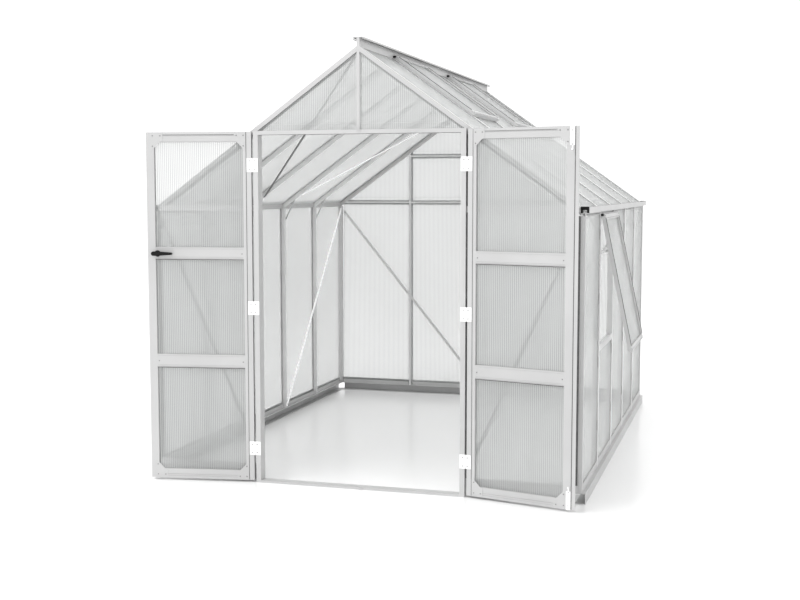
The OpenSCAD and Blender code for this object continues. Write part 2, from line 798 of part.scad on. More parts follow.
// The bore for the handle's spindle, through a leaf.
module spindle_bore() {
    translate([handle_x, leaf_out + 1, handle_z])
        rotate([90, 0, 0]) cylinder(r = spindle_r + 0.5, h = leaf_t + 2);
}

module leaf_stiles() {
    difference() {
        box([leaf_x0, leaf_in, leaf_z0], [pane_x0, leaf_out, leaf_z1]);
        pane_slot([pane_x0 - frame_groove, leaf_z0 - 1], [pane_x0 + 1, leaf_z1 + 1]);
        box([seam_x, leaf_in - 1, leaf_z0 - 1], [seam_x + seam, leaf_in + seam, leaf_z1 + 1]);
    }
    difference() {
        box([pane_x1, leaf_in, leaf_z0], [leaf_x1, leaf_out, leaf_z1]);
        pane_slot([pane_x1 - 1, leaf_z0 - 1], [pane_x1 + frame_groove, leaf_z1 + 1]);
    }
}

// A rail between the stiles with slots for the panels below and above it, and a groove in its face.
module leaf_rail(z, h, below, above, groove_z) {
    difference() {
        box([pane_x0, leaf_in, z], [pane_x1, leaf_out, z + h]);
        if (below) pane_slot([pane_x0 - 1, z - 1], [pane_x1 + 1, z + frame_groove]);
        if (above) pane_slot([pane_x0 - 1, z + h - frame_groove], [pane_x1 + 1, z + h + 1]);
        box([pane_x0 - 1, leaf_in - 1, groove_z], [pane_x1 + 1, leaf_in + seam, groove_z + seam]);
    }
}

module leaf_rails() {
    leaf_rail(leaf_z0, end_rail_h, false, true, leaf_z0 + end_rail_h * 0.42);
    leaf_rail(low_rail_z, low_rail_h, true, true, low_rail_z + seam * 3);
    leaf_rail(high_rail_z, high_rail_h, true, true, high_rail_z + seam * 3);
    leaf_rail(leaf_z1 - end_rail_h, end_rail_h, true, false, leaf_z1 - end_rail_h * 0.4);
}

module leaf_panels() {
    e = frame_groove - panel_gap;
    rows = [[leaf_z0 + end_rail_h, low_rail_z], [low_rail_z + low_rail_h, high_rail_z],
        [high_rail_z + high_rail_h, leaf_z1 - end_rail_h]];
    for (r = rows)
        box([pane_x0 - e, leaf_mid - panel_t / 2, r[0] - e], [pane_x1 + e, leaf_mid + panel_t / 2, r[1] + e]);
}

// Outline of a corner plate: a from the leaf's edge, which the plate's own edge lies a0 inside.
module corner_outline(a0, stile, rail) {
    c = corner_plate;
    polygon([[a0, 0], [c, 0], [c, rail], [stile + corner_chamfer, rail], [stile, rail + corner_chamfer],
        [stile, c], [a0, c]]);
}

// The four corner plates on a leaf's inner face; those at the free edge keep `clear` back from it.
module leaf_corner_plates(clear) {
    a0 = seam_x + seam - leaf_x0;
    for (top = [0, 1]) translate([0, leaf_in, top * (leaf_z0 + leaf_z1)]) mirror([0, 0, top])
        translate([0, 0, leaf_z0]) rotate([90, 0, 0]) linear_extrude(corner_plate_t) {
            translate([leaf_x0, 0]) corner_outline(a0, hinge_stile_w, end_rail_h);
            translate([leaf_x1, 0]) mirror([1, 0]) corner_outline(clear, free_stile_w, end_rail_h);
        }
}

// Three hinge plates on the +X side of the hinge line, y out from the face at y1.
module hinge_plates(middle) {
    knuckle = hinge_h / 3 - touch;
    y1 = leaf_gap / 2;
    y0 = y1 - hinge_plate_t;
    for (z = [hinge_low, hinge_mid, hinge_high]) translate([0, 0, z - hinge_h / 2]) difference() {
        union() {
            box([barrel_r + touch, y0, 0], [hinge_plate_w, y1, hinge_h]);
            for (k = middle ? [1] : [0, 2]) translate([0, 0, k * hinge_h / 3 + touch / 2]) {
                cylinder(r = barrel_r, h = knuckle);
                box([0, y0, 0], [barrel_r + 1, y1, knuckle]);
            }
            if (!middle) cylinder(r = pin_r, h = hinge_h);
        }
        if (middle) translate([0, 0, -1]) cylinder(r = pin_r + pin_play, h = hinge_h + 2);
    }
}

module jamb_hinge_plates() {
    color("white") both_sides() translate([pin_x, -pin_y, 0]) mirror([1, 0, 0]) hinge_plates(false);
}

module left_door_stiles() { color("gainsboro") in_left_leaf() leaf_stiles(); }

module right_door_stiles() { color("gainsboro") in_right_leaf() leaf_stiles(); }

module left_door_rails() {
    color("gainsboro") in_left_leaf() difference() {
        leaf_rails();
        spindle_bore();
    }
}

module right_door_rails() { color("gainsboro") in_right_leaf() leaf_rails(); }

module left_door_panels() { color("lightgray") in_left_leaf() leaf_panels(); }

module right_door_panels() { color("lightgray") in_right_leaf() leaf_panels(); }

module left_door_corner_plates() { color("gainsboro") in_left_leaf() leaf_corner_plates(strip_w); }

module right_door_corner_plates() { color("gainsboro") in_right_leaf() leaf_corner_plates(bolt_w); }

module left_door_hinge_plates() { color("white") in_left_leaf() hinge_plates(true); }

module right_door_hinge_plates() { color("white") in_right_leaf() hinge_plates(true); }

// ---- handle ----
module handle_roses() {
    color("black") in_left_leaf() for (y = [leaf_in, leaf_out + rose_t])
        translate([handle_x, y, handle_z]) rotate([90, 0, 0]) difference() {
            cylinder(r = rose_r, h = rose_t);
            translate([0, 0, -1]) cylinder(r = spindle_r + pin_play, h = rose_t + 2);
        }
}

// A lever that points to the hinge side, its hub's inner end on the plane y = 0.
module lever() {
    rotate([90, 0, 0]) cylinder(r = hub_r, h = hub_l);
    translate([0, lever_t - hub_l, 0]) rotate([90, 0, 0]) linear_extrude(lever_t) {
        polygon([[0, -hub_r], [-lever_l, -tip_r], [-lever_l, tip_r], [0, hub_r]]);
        translate([-lever_l, 0]) circle(r = tip_r);
        translate([0, -hub_r]) square([hub_r + 6, 2 * hub_r]);
        translate([hub_r + 6, 0]) circle(r = hub_r);
    }
}

module handle_levers() {
    inner = leaf_in - rose_t - touch;
    outer = leaf_out + rose_t + touch;
    color("black") in_left_leaf() translate([handle_x, 0, handle_z]) {
        translate([0, inner, 0]) lever();
        translate([0, outer, 0]) rotate([90, 0, 0]) cylinder(r = spindle_r, h = outer - inner + 1);
        translate([0, outer, 0]) mirror([0, 1, 0]) lever();
    }
}

// ---- the right leaf's strip and bolts ----
module meeting_strip() {
    y1 = leaf_in - touch;
    edge_t = meeting_gap / 2;
    color("gainsboro") in_right_leaf() translate([leaf_x1, 0, leaf_z0]) linear_extrude(leaf_z1 - leaf_z0)
        polygon([[0, y1 - strip_t], [strip_w, y1 - strip_t], [strip_w, y1], [edge_t, y1],
            [edge_t, leaf_mid], [0, leaf_mid]]);
}

module bolt_cases() {
    color("white") in_right_leaf() for (z = [leaf_z0, leaf_z1 - bolt_l]) difference() {
        box([leaf_x1 - bolt_w, leaf_in - bolt_case_t, z], [leaf_x1, leaf_in, z + bolt_l]);
        box([rod_x - rod_slot[0], rod_y - rod_slot[1], z - 1],
            [rod_x + rod_slot[0], rod_y + rod_slot[1], z + bolt_l + 1]);
    }
}

// A bolt that slides up, drawn back; its end is level with the top of its case at z.
module bolt(z) {
    knob_z = z - bolt_l - bolt_travel - knob_r - 1;
    box([rod_x - rod[0] / 2, rod_y - rod[1] / 2, knob_z - knob_r],
        [rod_x + rod[0] / 2, rod_y + rod[1] / 2, z]);
    translate([rod_x, rod_y, knob_z]) rotate([90, 0, 0]) cylinder(r = knob_r, h = knob_l);
}

module top_bolt() { color("white") in_right_leaf() bolt(leaf_z1); }

module bottom_bolt() { color("white") in_right_leaf() mirror([0, 0, 1]) bolt(-leaf_z0); }

// Keepers for the bolts on the header's and the sill's front faces.
module bolt_keepers() {
    x = pin_x - rod_x;
    y = -pin_y - rod_y;
    front = y - rod_slot[1] - keeper_wall;
    color("gray") difference() {
        union() {
            box([x - keeper_half, front, leaf_z1 + 1], [x + keeper_half, -jamb_out, header_z - 2]);
            box([x - keeper_half, front, 0], [x + keeper_half, -jamb_out, leaf_under - 1]);
        }
        box([x - rod_slot[0], y - rod_slot[1], -1], [x + rod_slot[0], y + rod_slot[1], header_z]);
    }
}

// ---- the model ----
base_sides();
base_front();
base_back();
door_sill();
corner_posts();
side_posts_left();
side_posts_right();
door_jambs();
door_header();
king_post();
back_posts();
gable_rails();
bottom_rails();
eave_beams();
gutter_end_caps();
ridge_beam();
rakes();
rafters_left();
rafters_right();
vent_crossbars();
window_sill_rail();
wall_panels_left();
wall_panels_right();
front_gable_panels();
back_gable_panels();
roof_panels_left();
roof_panels_right();
wall_braces();
roof_braces();
knee_brackets();
glazing_clips();
stay_pegs();
jamb_hinge_plates();
sash_hinge_brackets();
bolt_keepers();
left_door_stiles();
left_door_rails();
left_door_panels();
left_door_corner_plates();
left_door_hinge_plates();
handle_roses();
handle_levers();
right_door_stiles();
right_door_rails();
right_door_panels();
right_door_corner_plates();
right_door_hinge_plates();
meeting_strip();
bolt_cases();
top_bolt();
bottom_bolt();
front_vent_sash();
front_vent_panel();
front_vent_stay();
rear_vent_sash();
rear_vent_panel();
rear_vent_stay();
window_sash();
window_panel();
window_stay();
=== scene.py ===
import json
import math

import bmesh
import bpy
import numpy as np
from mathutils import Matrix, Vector


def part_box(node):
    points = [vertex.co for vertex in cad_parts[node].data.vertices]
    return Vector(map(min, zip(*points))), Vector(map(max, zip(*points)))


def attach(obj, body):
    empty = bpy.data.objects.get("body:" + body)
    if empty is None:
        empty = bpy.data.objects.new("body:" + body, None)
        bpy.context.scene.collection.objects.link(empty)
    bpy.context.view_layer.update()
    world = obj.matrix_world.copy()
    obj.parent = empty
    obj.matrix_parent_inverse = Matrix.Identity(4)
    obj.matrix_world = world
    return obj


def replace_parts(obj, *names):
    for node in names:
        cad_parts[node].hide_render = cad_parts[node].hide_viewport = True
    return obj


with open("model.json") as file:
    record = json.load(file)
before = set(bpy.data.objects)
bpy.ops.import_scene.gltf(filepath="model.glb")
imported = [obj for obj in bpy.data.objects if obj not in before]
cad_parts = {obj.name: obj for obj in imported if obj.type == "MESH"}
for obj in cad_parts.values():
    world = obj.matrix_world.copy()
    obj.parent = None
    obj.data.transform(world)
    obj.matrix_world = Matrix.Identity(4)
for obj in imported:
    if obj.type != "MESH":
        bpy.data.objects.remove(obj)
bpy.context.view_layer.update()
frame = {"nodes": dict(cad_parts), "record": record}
BODY = {node: body for body, nodes in frame["record"]["behaviour"]["bodies"].items() for node in nodes}
SLOT = {part["node"]: part["material_slot"] for part in frame["record"]["subparts"]}
UP = np.array((0.0, 0.0, 1.0))
HOUSE_MIDDLE = np.array((0.0, 1.6, 1.0))

# ---- sizes ----
FLUTE = 0.011            # spacing of a sheet's ribs, which show as lines in its skins
RIB_LINE = 0.0021        # width of the line that a rib makes in a skin
SHADE_LINE = 0.0016            # width of a dark line of painted shade beside a glazing bar
SHADE_LINE_PROUD = 0.0008      # how far a line of painted shade stands off its sheet
LINE_PROUD = 0.0005      # how far a line of painted shade at a seam or bead stands off its bar
SHADE_GASKET_PROUD = 0.003     # how far the sides of a sash's gasket stand off it, so that the gasket shows as a dark line of painted shade
CAP_REACH = 0.011        # how far a bar's cap reaches over the sheet beside it
LIP_REACH = 0.034        # how far the bottom rail's lip reaches over a sheet
EAVE_REACH = 0.015       # how far the eave beam reaches over a sheet
LEAF_REACH = 0.0075      # how far a leaf's rails and stiles reach over its sheets

RAIL_SCREW = 0.0034      # radius of the screws in a leaf's rails and in a sash
PLATE_SCREW = 0.0036     # radius of the screws in a corner plate
SMALL_SCREW = 0.0030     # radius of the screws in a hinge plate or a bolt's case
BRACE_BOLT = 0.005       # radius of the bolt heads on a brace
KNEE_BOLT = 0.0040       # radius of the bolt heads on a knee strap
BOLT_INWARDS = 0.014     # from the end of a brace to its bolt
KNEE_STRAP = 0.013       # width of a knee strap

CAMERA_AT = (2.1261, -6.4072, 1.6776)
CAMERA_YAW = 16.414      # towards the left, from looking straight at the house
CAMERA_PITCH = 5.189     # downwards
LENS = 54.93             # millimetres
SENSOR = 36.0            # millimetres

FLOOR_REACH = 60.0       # half the length of the floor's side
WORLD_STRENGTH = 1.18
SOFTBOX_AT = (-3.6, -1.8, 8.4)
SOFTBOX_TARGET = (0, 1.4, 0.4)
SOFTBOX_SIZE = 8.0
SOFTBOX_POWER = 440.0    # watts


# ---- materials ----
NOISE_SPAN = (0.3, 0.7)  # most of a noise's values lie between these
BUMP_DEPTH = 0.0005


class Nodes:
    """A new material with short calls to add and join its nodes."""

    def __init__(self, name):
        self.material = bpy.data.materials.new(name)
        self.material.use_nodes = True
        self.tree = self.material.node_tree
        self.shader = self.tree.nodes["Principled BSDF"]
        self.place = self.add("ShaderNodeTexCoord").outputs["Object"]

    def add(self, kind, **settings):
        node = self.tree.nodes.new(kind)
        for key, value in settings.items():
            setattr(node, key, value)
        return node

    def join(self, output, socket):
        self.tree.links.new(output, socket)

    def scaled(self, scale):
        """The object's own coordinates, multiplied by scale along each axis."""
        node = self.add("ShaderNodeMapping")
        node.inputs["Scale"].default_value = scale
        self.join(self.place, node.inputs["Vector"])
        return node.outputs["Vector"]

    def noise(self, scale, detail=3.0, place=None):
        node = self.add("ShaderNodeTexNoise")
        node.inputs["Scale"].default_value = scale
        node.inputs["Detail"].default_value = detail
        self.join(place or self.place, node.inputs["Vector"])
        return node.outputs["Fac"]

    def between(self, factor, low, high):
        """A number from low to high as factor goes through NOISE_SPAN."""
        node = self.add("ShaderNodeMapRange")
        node.inputs["From Min"].default_value, node.inputs["From Max"].default_value = NOISE_SPAN
        node.inputs["To Min"].default_value = low
        node.inputs["To Max"].default_value = high
        self.join(factor, node.inputs["Value"])
        return node.outputs["Result"]

    def blend(self, factor, dark, light):
        """A colour between dark and light."""
        node = self.add("ShaderNodeValToRGB")
        ramp = node.color_ramp.elements
        ramp[0].position, ramp[1].position = NOISE_SPAN
        ramp[0].color, ramp[1].color = (*dark, 1), (*light, 1)
        self.join(factor, node.inputs["Fac"])
        return node.outputs["Color"]

    def bump(self, height, strength):
        node = self.add("ShaderNodeBump")
        node.inputs["Strength"].default_value = strength
        node.inputs["Distance"].default_value = BUMP_DEPTH
        self.join(height, node.inputs["Height"])
        self.join(node.outputs["Normal"], self.shader.inputs["Normal"])

    def set(self, **values):
        for key, value in values.items():
            self.shader.inputs[key.replace("_", " ")].default_value = value
        return self


def grey(value):
    return (value, value, value)


def extruded_metal(name, dark, light, metallic, rough, stretch):
    """Drawn aluminium or coated steel: fine lines along the bar, cloudy tone, satin gloss."""
    m = Nodes(name).set(Metallic=metallic)
    lines = m.noise(900.0, 2.0, m.scaled(stretch))
    clouds = m.noise(2.3, 4.0)
    m.join(m.blend(clouds, dark, light), m.shader.inputs["Base Color"])
    m.join(m.between(lines, rough - 0.05, rough + 0.08), m.shader.inputs["Roughness"])
    m.bump(lines, 0.05)
    return m.material


def painted(name, dark, light, rough, glow=0.0):
    """A powder coat: fine orange peel and slightly uneven gloss; glow is painted light, an emission that
    makes a coat look lit.
    """
    m = Nodes(name).set(Emission_Color=(1, 1, 1, 1), Emission_Strength=glow)
    peel = m.noise(650.0, 2.0)
    m.join(m.blend(m.noise(5.0), dark, light), m.shader.inputs["Base Color"])
    m.join(m.between(m.noise(30.0), rough - 0.06, rough + 0.06), m.shader.inputs["Roughness"])
    m.bump(peel, 0.08)
    return m.material


def moulded(name, dark, light, rough):
    """Moulded plastic or rubber: a fine spark-eroded grain."""
    m = Nodes(name).set(Specular_IOR_Level=0.2)
    m.join(m.blend(m.noise(40.0), dark, light), m.shader.inputs["Base Color"])
    m.join(m.between(m.noise(120.0), rough - 0.08, rough + 0.08), m.shader.inputs["Roughness"])
    m.bump(m.noise(1400.0), 0.15)
    return m.material


def twin_wall(name, dark, light, alpha, through, rough):
    """Milky twin-wall plastic: some light passes straight, some passes scattered, some is reflected."""
    m = Nodes(name).set(Alpha=alpha, Transmission_Weight=through, IOR=1.2)
    greenish = [(value - 0.006, value + 0.004, value) for value in (dark, light)]
    m.join(m.blend(m.noise(1.7), *greenish), m.shader.inputs["Base Color"])
    m.join(m.between(m.noise(9.0), rough, rough + 0.1), m.shader.inputs["Roughness"])
    return m.material


UPRIGHT = (1, 1, 0.03)           # drawing lines that run along Z
LEVEL = (0.03, 0.03, 1)          # drawing lines that run level
COARSE = (0.2, 0.2, 0.2)         # a coarse grain
FINE = (1, 1, 1)                 # a fine grain

MATERIALS = {
    "silver_aluminium": extruded_metal("silver_aluminium", grey(0.53), grey(0.59), 0.25, 0.45, UPRIGHT),
    # a lighter copy of the silver aluminium for the bars inside the house: painted light against the shade in
    # there
    "aluminium_painted_lighter": extruded_metal("aluminium_painted_lighter", grey(0.70), grey(0.76), 0.1, 0.45, UPRIGHT),
    "galvanised_base": extruded_metal("galvanised_base", grey(0.50), grey(0.58), 0.35, 0.46, LEVEL),
    "white_fittings": painted("white_fittings", grey(0.94), grey(0.98), 0.32),
    # the white straps glow a little: painted light that makes them look lit inside the house
    "white_straps_painted_glow": painted("white_straps_painted_glow", grey(0.95), grey(0.98), 0.25, 0.3),
    "black_plastic": moulded("black_plastic", grey(0.004), grey(0.009), 0.38),
    # darker copies for the braces seen from their unlit side: painted shade
    "steel_painted_dark_shade": extruded_metal("steel_painted_dark_shade", grey(0.09), grey(0.13), 0.4, 0.40, COARSE),
    "steel_painted_grey_shade": extruded_metal("steel_painted_grey_shade", grey(0.58), grey(0.66), 0.3, 0.40, COARSE),
    "zinc_steel": extruded_metal("zinc_steel", grey(0.24), grey(0.36), 0.9, 0.35, FINE),
    "sheet_skin": twin_wall("sheet_skin", 0.84, 0.88, 0.42, 0.50, 0.30),
    "sheet_line": twin_wall("sheet_line", 0.26, 0.32, 0.70, 0.0, 0.35),
    # dark and grey rubber lines in gaps, seams and grooves: painted shade
    "painted_shade_dark": moulded("painted_shade_dark", grey(0.10), grey(0.15), 0.6),
    "painted_shade_grey": moulded("painted_shade_grey", grey(0.42), grey(0.50), 0.55),
}


# ---- reading the CAD solids ----
class Solid:
    """One solid of a CAD node. `face` is the direction square to its largest faces, `run` the
    steepest direction along them, or Y where they lie level, and `side` the direction across."""

    def __init__(self, points, face):
        self.points = points
        self.centre = (points.min(axis=0) + points.max(axis=0)) / 2
        self.face = face
        run = UP - face[2] * face
        if np.linalg.norm(run) < 0.01:
            run = np.array((0.0, 1.0, 0.0))
        self.run = run / np.linalg.norm(run)
        self.side = np.cross(self.run, self.face)

    def reversed(self):
        """The same solid, with `face` towards its other side."""
        return Solid(self.points, -self.face)

    def span(self, axis):
        """The lowest and highest places of the solid along an axis."""
        along = self.points @ axis
        return along.min(), along.max()

    def at(self, side, run, face):
        """The point with these coordinates along the solid's three directions."""
        return side * self.side + run * self.run + face * self.face


def solids(node):
    """The separate solids of a CAD node, each with `face` away from the middle of the house."""
    mesh = bmesh.new()
    mesh.from_mesh(frame["nodes"][node].data)
    bmesh.ops.remove_doubles(mesh, verts=mesh.verts, dist=1e-5)
    mesh.verts.ensure_lookup_table()
    seen, found = set(), []
    for start in mesh.verts:
        if start.index in seen:
            continue
        group, queue = [], [start]
        seen.add(start.index)
        while queue:
            vert = queue.pop()
            group.append(vert)
            for edge in vert.link_edges:
                other = edge.other_vert(vert)
                if other.index not in seen:
                    seen.add(other.index)
                    queue.append(other)
        area = {}
        for face in {face for vert in group for face in vert.link_faces}:
            key = tuple(round(abs(value), 2) for value in face.normal)
            area.setdefault(key, [0.0, face.normal.copy()])[0] += face.calc_area()
        normal = max(area.values(), key=lambda entry: entry[0])[1]
        solid = Solid(np.array([vert.co[:] for vert in group]), np.array(normal))
        inwards = solid.face @ (solid.centre - HOUSE_MIDDLE) < 0
        found.append(solid.reversed() if inwards else solid)
    mesh.free()
    return found


# ---- making pieces ----
# a socket head's outline: radius and height, as shares of its radius
HEAD = ((1.0, 0.0), (1.0, 0.25), (0.8, 0.5), (0.45, 0.58), (0.40, 0.2))


class Piece:
    """A new mesh that rides on one body."""

    def __init__(self, name, body, materials, slot):
        self.name, self.body, self.slot = name, body, slot
        self.materials = materials
        self.points, self.faces, self.marks = [], [], []

    def add(self, points, faces, marks=0):
        """Adds faces; marks is the material of all of them, or a list with one for each."""
        start = len(self.points)
        self.points += [tuple(point) for point in points]
        self.faces += [[start + i for i in face] for face in faces]
        self.marks += marks if isinstance(marks, list) else [marks] * len(faces)

    def prism(self, outline, depth, mark=0):
        """A closed prism from an outline of 3-D points and the vector that it is drawn along."""
        n = len(outline)
        far = [np.array(point) + np.array(depth) for point in outline]
        sides = [[i, (i + 1) % n, n + (i + 1) % n, n + i] for i in range(n)]
        self.add(list(outline) + far, [list(range(n))[::-1], list(range(n, 2 * n))] + sides, mark)

    def turned(self, at, axis, profile, sides=14):
        """A turned shape: profile is a list of radius and height along the axis."""
        across = np.cross(axis, (0.3, 0.5, 0.8))
        across /= np.linalg.norm(across)
        third = np.cross(axis, across)
        turns = [2 * math.pi * i / sides for i in range(sides)]
        points = [at + height * axis + radius * (math.cos(t) * across + math.sin(t) * third)
                  for radius, height in profile for t in turns]
        faces = [list(range(sides))[::-1], list(range(len(points) - sides, len(points)))]
        for ring in range(len(profile) - 1):
            a, b = ring * sides, (ring + 1) * sides
            faces += [[a + i, a + (i + 1) % sides, b + (i + 1) % sides, b + i] for i in range(sides)]
        self.add(points, faces)

    def screw(self, solid, across, up, radius):
        """A socket-headed screw on a solid's outer face, at these fractions of its width and height."""
        (left, right), (low, high) = solid.span(solid.side), solid.span(solid.run)
        at = solid.at(left + across * (right - left), low + up * (high - low), solid.span(solid.face)[1])
        self.head(at, solid.face, radius)

    def head(self, at, axis, radius):
        """A socket head with its foot at a point, looking along an axis."""
        self.turned(np.array(at), axis, [(radius * r, radius * h) for r, h in HEAD])

    def line(self, solid, edge, offset, width, trim=0.0, mark=0, proud=LINE_PROUD):
        """A thin raised line on a solid's outer face, at an offset from one of its edges."""
        (left, right), (low, high) = solid.span(solid.side), solid.span(solid.run)
        near, far = {
            "left": (left + offset, left + offset + width),
            "right": (right - offset - width, right - offset),
            "foot": (low + offset, low + offset + width),
            "head": (high - offset - width, high - offset),
        }[edge]
        if edge in ("left", "right"):
            corners = ((near, low + trim), (far, low + trim), (far, high - trim), (near, high - trim))
        else:
            corners = ((left + trim, near), (right - trim, near), (right - trim, far), (left + trim, far))
        front = solid.span(solid.face)[1]
        self.prism([solid.at(x, y, front) for x, y in corners], proud * solid.face, mark)

    def block(self, low, high):
        """A block from its lowest corner to its highest."""
        (xa, ya, za), (xb, yb, zb) = low, high
        self.prism([(xa, ya, za), (xb, ya, za), (xb, yb, za), (xa, yb, za)], (0, 0, zb - za))

    def finish(self, smooth=False):
        """Makes the mesh and puts it on its body."""
        data = bpy.data.meshes.new(self.name)
        data.from_pydata(self.points, [], self.faces)
        for material in self.materials:
            data.materials.append(MATERIALS[material])
        data.polygons.foreach_set("material_index", self.marks)
        mesh = bmesh.new()
        mesh.from_mesh(data)
        bmesh.ops.recalc_face_normals(mesh, faces=mesh.faces)
        mesh.to_mesh(data)
        mesh.free()
        if smooth:
            data.shade_smooth()
            data.set_sharp_from_angle(angle=math.radians(35))
        data.update()
        made = bpy.data.objects.new(self.name, data)
        bpy.context.scene.collection.objects.link(made)
        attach(made, self.body)
        return made


# ---- twin-wall sheets ----
SKIN, RIB = 0, 1                 # the materials of a sheet


def outline_of(solid):
    """The sheet's outline, as pairs of side and run coordinates, counter-clockwise."""
    flat = np.round(np.stack([solid.points @ solid.side, solid.points @ solid.run], axis=1), 6)
    flat = np.unique(flat, axis=0)
    ordered = sorted(map(tuple, flat))
    hull = []
    for points in (ordered, ordered[::-1]):
        half = []
        for x, y in points:
            while len(half) > 1 and ((half[-1][0] - half[-2][0]) * (y - half[-2][1])
                                     - (half[-1][1] - half[-2][1]) * (x - half[-2][0])) <= 1e-9:
                half.pop()
            half.append((x, y))
        hull += half[:-1]
    return hull


def reach(outline, side):
    """The lowest and highest place of a convex outline at one place across it."""
    crossings = []
    for (xa, ya), (xb, yb) in zip(outline, outline[1:] + outline[:1]):
        if min(xa, xb) <= side <= max(xa, xb) and xa != xb:
            crossings.append(ya + (yb - ya) * (side - xa) / (xb - xa))
    return min(crossings), max(crossings)


def inset(outline, amounts):
    """The outline with each edge moved inwards by its own amount."""
    n = len(outline)
    lines = []
    for i in range(n):
        (xa, ya), (xb, yb) = outline[i], outline[(i + 1) % n]
        length = math.hypot(xb - xa, yb - ya)
        nx, ny = -(yb - ya) / length, (xb - xa) / length
        lines.append((nx, ny, nx * xa + ny * ya + amounts[i]))
    corners = []
    for i in range(n):
        (a, b, e), (c, d, f) = lines[i - 1], lines[i]
        det = a * d - b * c
        corners.append(((e * d - b * f) / det, (a * f - e * c) / det))
    return corners


def edge_kinds(outline):
    """For each edge: side, foot or head; a sloping edge is a head."""
    kinds = []
    for (xa, ya), (xb, yb) in zip(outline, outline[1:] + outline[:1]):
        if abs(xa - xb) < 1e-4:
            kinds.append("side")
        else:
            kinds.append("foot" if xb > xa else "head")
    return kinds


def add_sheet(piece, solid):
    """Adds a closed twin-wall sheet with its flutes along the solid's run: a slab whose two skins are
    cut into flutes and the lines of the ribs between them."""
    outline = outline_of(solid)
    back, front = solid.span(solid.face)
    left, right = solid.span(solid.side)
    count = max(2, round((right - left) / FLUTE))
    ribs = [left + (right - left) * i / count for i in range(1, count)]
    cuts = {round(x, 6) for x, _ in outline}
    for rib in ribs:
        cuts |= {round(rib - RIB_LINE / 2, 6), round(rib + RIB_LINE / 2, 6)}
    cuts = sorted(cuts)
    points, faces, marks = [], [], []
    for x in cuts:
        low, high = reach(outline, x)
        corners = ((low, back), (high, back), (high, front), (low, front))
        points += [solid.at(x, run, face) for run, face in corners]
    for i, (xa, xb) in enumerate(zip(cuts, cuts[1:])):
        on_rib = any(abs((xa + xb) / 2 - rib) < RIB_LINE / 2 for rib in ribs)
        a, b = 4 * i, 4 * i + 4
        faces += [[a + j, b + j, b + (j + 1) % 4, a + (j + 1) % 4] for j in range(4)]
        marks += [RIB if on_rib else SKIN] * 4
    last = 4 * (len(cuts) - 1)
    faces += [[0, 1, 2, 3], [last, last + 1, last + 2, last + 3]]
    marks += [SKIN, SKIN]
    piece.add(points, faces, marks)


def add_shade_lines(piece, solid, reaches, both_faces=False):
    """Adds dark lines round a sheet, at the edges of the bars that hold it: painted shade in the gaps between
    bar and sheet.
    """
    outline = outline_of(solid)
    amounts = [reaches[kind] for kind in edge_kinds(outline)]
    outer = inset(outline, amounts)
    inner = inset(outline, [amount + SHADE_LINE for amount in amounts])
    back, front = solid.span(solid.face)
    skins = [(front, SHADE_LINE_PROUD), (back, -SHADE_LINE_PROUD)]
    for place, grow in skins if both_faces else skins[:1]:
        for i in range(len(outer)):
            j = (i + 1) % len(outer)
            strip = [solid.at(x, y, place) for x, y in (outer[i], outer[j], inner[j], inner[i])]
            piece.prism(strip, grow * solid.face)


# how far the bars reach over each node's sheets at their sides, foot and head
SHEETS = {
    "wall_panels_left": (CAP_REACH, LIP_REACH, EAVE_REACH),
    "wall_panels_right": (CAP_REACH, LIP_REACH, EAVE_REACH),
    "front_gable_panels": (0.0, LIP_REACH, CAP_REACH),
    "back_gable_panels": (CAP_REACH, LIP_REACH, CAP_REACH),
    "roof_panels_left": (CAP_REACH, 0.0, 0.0),
    "roof_panels_right": (CAP_REACH, 0.0, 0.0),
    "left_door_panels": (LEAF_REACH,) * 3,
    "right_door_panels": (LEAF_REACH,) * 3,
    "front_vent_panel": (LEAF_REACH,) * 3,
    "rear_vent_panel": (LEAF_REACH,) * 3,
    "window_panel": (LEAF_REACH,) * 3,
}


def twin_wall_sheets():
    """Every sheet with its flutes, and the lines of painted shade round it."""
    for node, (side, foot, head) in SHEETS.items():
        body = BODY[node]
        sheets = Piece(node + "_fluted", body, ["sheet_skin", "sheet_line"], SLOT[node])
        # the lines round the roof's and the vents' sheets are dark, the others grey: painted shade at the
        # edges of the bars
        dark = node.startswith(("roof", "front_vent", "rear_vent"))
        shade_lines = Piece(node + "_shade_lines", body, ["painted_shade_dark" if dark else "painted_shade_grey"], "black_plastic")
        for solid in solids(node):
            add_sheet(sheets, solid)
            add_shade_lines(shade_lines, solid, {"side": side, "foot": foot, "head": head}, body != "root")
        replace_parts(sheets.finish(), node)
        shade_lines.finish()


# ---- painted shade at seams and gaps, screws and straps ----
DARK_SHADE, GREY_SHADE = 0, 1              # the materials of a leaf's seams: dark and grey painted shade
GLOWING_WHITE, SHADED = 0, 1              # the materials of a brace: white with a painted glow, and a copy darkened as painted shade


def hinge_screws(screws, node):
    """Two screws in each of a node's hinge plates."""
    for plate in solids(node):
        for up in (0.2, 0.8):
            screws.screw(plate, 0.5, up, SMALL_SCREW)


